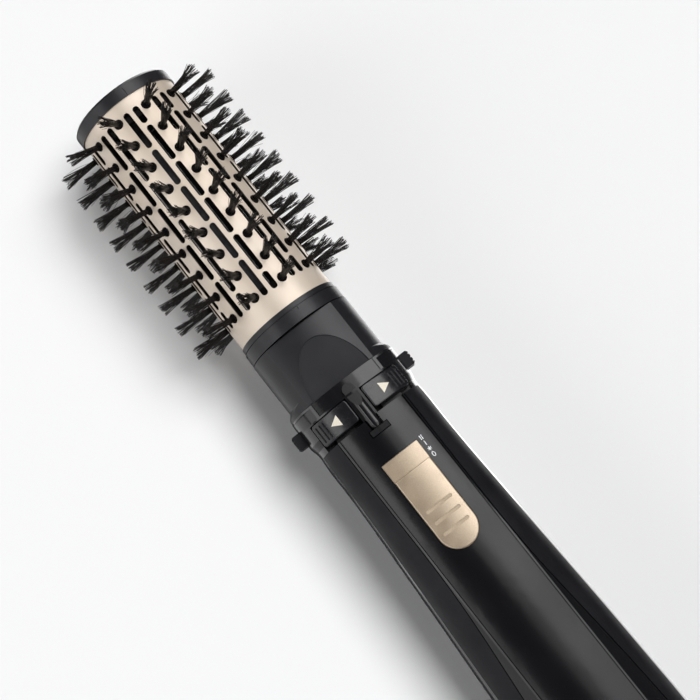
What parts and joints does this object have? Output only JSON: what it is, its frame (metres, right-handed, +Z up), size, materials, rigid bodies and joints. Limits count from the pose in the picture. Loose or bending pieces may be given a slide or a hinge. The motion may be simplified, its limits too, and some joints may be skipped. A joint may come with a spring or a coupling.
{
  "type": "hot air brush",
  "caption": "Rotating hot air brush: a slotted round metal barrel with bristle tufts, a neck sleeve, a ring of direction buttons and a long handle with a sliding heat switch.",
  "frame": {"origin": "on the surface that the brush lies on, under the middle of the whole object", "axes": "+X along the brush axis towards the tip, +Y to the left, +Z up through the heat switch"},
  "size_m": [0.38, 0.072, 0.07],
  "materials": {
    "champagne_aluminium": "satin anodised",
    "bristle_nylon": "nylon filament",
    "black_plastic": "moulded",
    "satin_black": "satin",
    "gloss_black": "gloss",
    "champagne_paint": "satin metallic paint",
    "steel": "satin",
    "brass": "turned",
    "nichrome": "drawn wire",
    "mica": "mica sheet",
    "white_nylon": "moulded nylon",
    "board_green": "solder mask"
  },
  "bodies": {
    "handle": {"control_ring": "gloss_black", "button_board": "board_green", "release_spring_left": "steel", "release_spring_right": "steel", "top_panel": "gloss_black", "side_grip_left": "satin_black", "side_grip_right": "satin_black", "lower_shell": "gloss_black", "switch_plate": "champagne_paint", "slide_switch": "black_plastic", "circuit_board": "board_green", "heat_shield": "steel", "heater_board": "mica", "heater_coil": "nichrome", "thermal_cutout": "steel", "shaft_bush": "brass", "gear_case": "black_plastic", "rotation_motor": "steel", "fan_duct": "black_plastic", "fan_motor": "steel", "rear_cap": "satin_black", "filter_screen": "steel"},
    "neck": {"neck_sleeve": "satin_black", "neck_bush": "brass"},
    "brush_head": {"barrel": "champagne_aluminium", "bristle_cage": "black_plastic", "bristle_row_01": "bristle_nylon", "bristle_row_02": "bristle_nylon", "bristle_row_03": "bristle_nylon", "bristle_row_04": "bristle_nylon", "bristle_row_05": "bristle_nylon", "bristle_row_06": "bristle_nylon", "bristle_row_07": "bristle_nylon", "bristle_row_08": "bristle_nylon", "bristle_row_09": "bristle_nylon", "bristle_row_10": "bristle_nylon", "end_cap": "satin_black", "head_spindle": "steel", "cap_screw": "steel", "rear_collar": "satin_black", "drive_hub": "black_plastic", "journal_clip": "steel"},
    "drive_train": {"drive_shaft": "steel", "output_gear": "white_nylon"},
    "motor_rotor": {"motor_pinion": "brass"},
    "heat_switch": {"heat_slider": "champagne_paint"},
    "rotate_left": {"rotate_button_left": "gloss_black"},
    "rotate_right": {"rotate_button_right": "gloss_black"},
    "release_left": {"release_tab_left": "satin_black"},
    "release_right": {"release_tab_right": "satin_black"},
    "fan_rotor": {"fan_impeller": "black_plastic"},
    "cord_swivel": {"cord_gland": "satin_black"}
  },
  "joints": [
    {"name": "head_release", "type": "slide", "parent": "handle", "child": "neck", "axis": [1, 0, 0], "range_m": [0, 0.04]},
    {"name": "brush_spin", "type": "hinge", "parent": "neck", "child": "brush_head", "pos_m": [0.134, 0, 0.03498], "axis": [1, 0, 0], "continuous": true},
    {"name": "drive_spin", "type": "hinge", "parent": "handle", "child": "drive_train", "pos_m": [0, 0, 0.03498], "axis": [1, 0, 0], "continuous": true},
    {"name": "pinion_spin", "type": "hinge", "parent": "handle", "child": "motor_rotor", "pos_m": [-0.03, 0, 0.02498], "axis": [1, 0, 0], "continuous": true},
    {"name": "heat_switch_slide", "type": "slide", "parent": "handle", "child": "heat_switch", "axis": [1, 0, 0], "range_m": [0, 0.0078]},
    {"name": "rotate_left_press", "type": "slide", "parent": "handle", "child": "rotate_left", "axis": [0, 0, -1], "range_m": [0, 0.001], "stiffness_N_per_m": 500, "springref_m": -0.0006},
    {"name": "rotate_right_press", "type": "slide", "parent": "handle", "child": "rotate_right", "axis": [0, 0, -1], "range_m": [0, 0.001], "stiffness_N_per_m": 500, "springref_m": -0.0006},
    {"name": "release_left_press", "type": "slide", "parent": "handle", "child": "release_left", "axis": [0, -1, 0], "range_m": [0, 0.002], "stiffness_N_per_m": 600, "springref_m": -0.001, "deforming": ["release_spring_left"]},
    {"name": "release_right_press", "type": "slide", "parent": "handle", "child": "release_right", "axis": [0, 1, 0], "range_m": [0, 0.002], "stiffness_N_per_m": 600, "springref_m": -0.001, "deforming": ["release_spring_right"]},
    {"name": "fan_spin", "type": "hinge", "parent": "handle", "child": "fan_rotor", "pos_m": [-0.136, 0, 0.03198], "axis": [1, 0, 0], "continuous": true},
    {"name": "cord_swivel_turn", "type": "hinge", "parent": "handle", "child": "cord_swivel", "pos_m": [-0.185, 0, 0.03198], "axis": [1, 0, 0], "continuous": true}
  ],
  "couplings": [
    {"joint": "drive_spin", "follows": "brush_spin", "ratio": 1},
    {"joint": "pinion_spin", "follows": "brush_spin", "ratio": -4}
  ]
}
